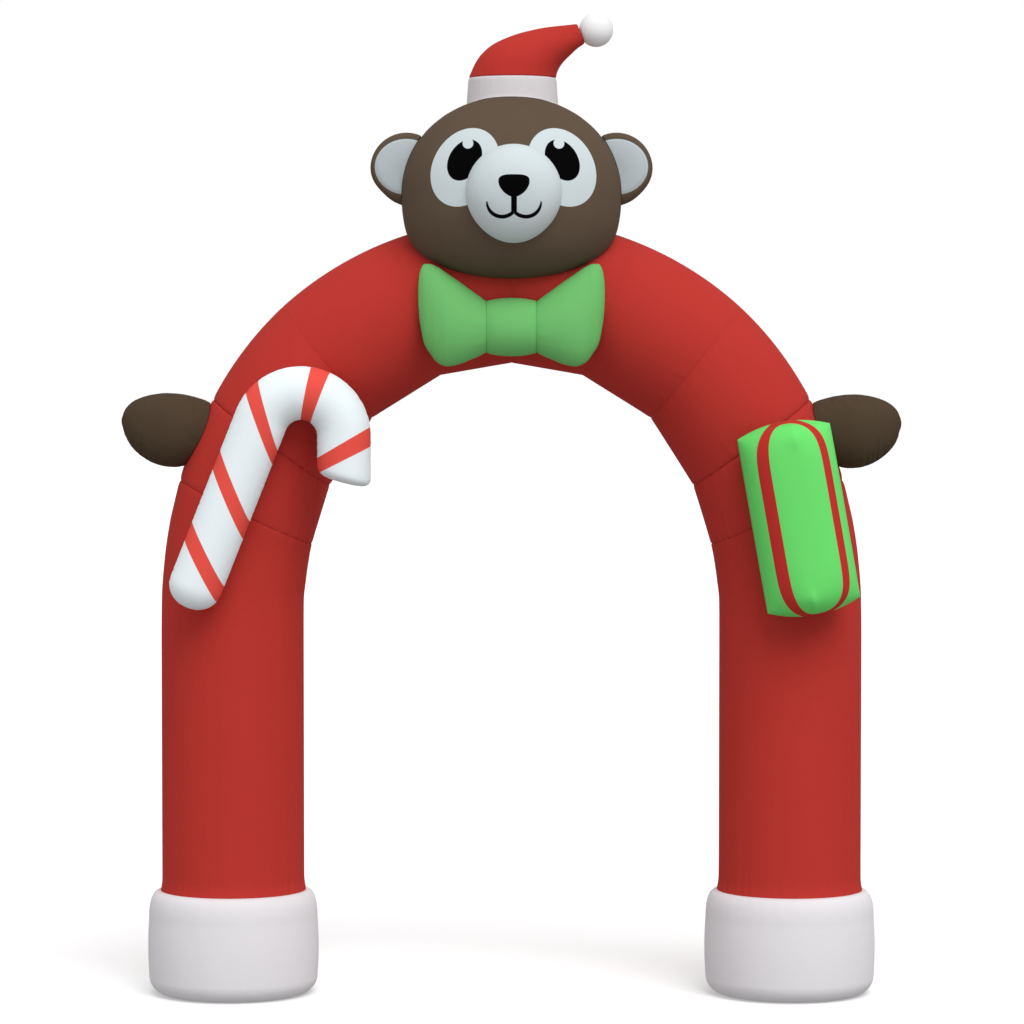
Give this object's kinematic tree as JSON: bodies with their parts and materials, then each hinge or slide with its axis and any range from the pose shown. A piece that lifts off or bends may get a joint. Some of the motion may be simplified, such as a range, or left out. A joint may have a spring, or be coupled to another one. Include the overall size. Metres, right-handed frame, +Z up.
{
  "type": "inflatable arch",
  "caption": "Walk-through inflatable arch of red cloth on white cuffs, with a brown animal head in a stocking hat, bow tie, mitts, a candy cane and a gift box.",
  "frame": {"origin": "on the floor, under the middle of the whole object's box, midway between the two feet", "axes": "X to the right seen from the front, Y from the front to the back, Z up"},
  "size_m": [2.14, 0.665, 2.6938],
  "materials": {
    "red_cloth": "matt woven polyester",
    "white_cloth": "matt woven polyester",
    "brown_cloth": "matt woven polyester, printed face and ears",
    "dark_brown_cloth": "matt woven polyester",
    "face_cloth": "matt woven polyester, printed nose and mouth",
    "green_cloth": "matt woven polyester",
    "gift_cloth": "matt woven polyester with red ribbon stripes",
    "striped_cloth": "matt woven polyester with red stripes"
  },
  "bodies": {
    "root": {"cuff_left": "white_cloth", "cuff_right": "white_cloth", "leg_left": "red_cloth", "leg_right": "red_cloth", "panel_elbow_left": "red_cloth", "panel_elbow_right": "red_cloth", "panel_shoulder_left": "red_cloth", "panel_shoulder_right": "red_cloth", "panel_haunch_left": "red_cloth", "panel_haunch_right": "red_cloth", "panel_crown_left": "red_cloth", "panel_crown_right": "red_cloth", "head": "brown_cloth", "muzzle": "face_cloth", "ear_left": "brown_cloth", "ear_right": "brown_cloth", "hat_band": "white_cloth", "hat_cone": "red_cloth", "hat_pompom": "white_cloth", "bow_wing_left": "green_cloth", "bow_wing_right": "green_cloth", "bow_knot": "green_cloth", "mitt_left": "dark_brown_cloth", "mitt_right": "dark_brown_cloth", "candy_cane": "striped_cloth", "gift_box": "gift_cloth"}
  },
  "joints": []
}
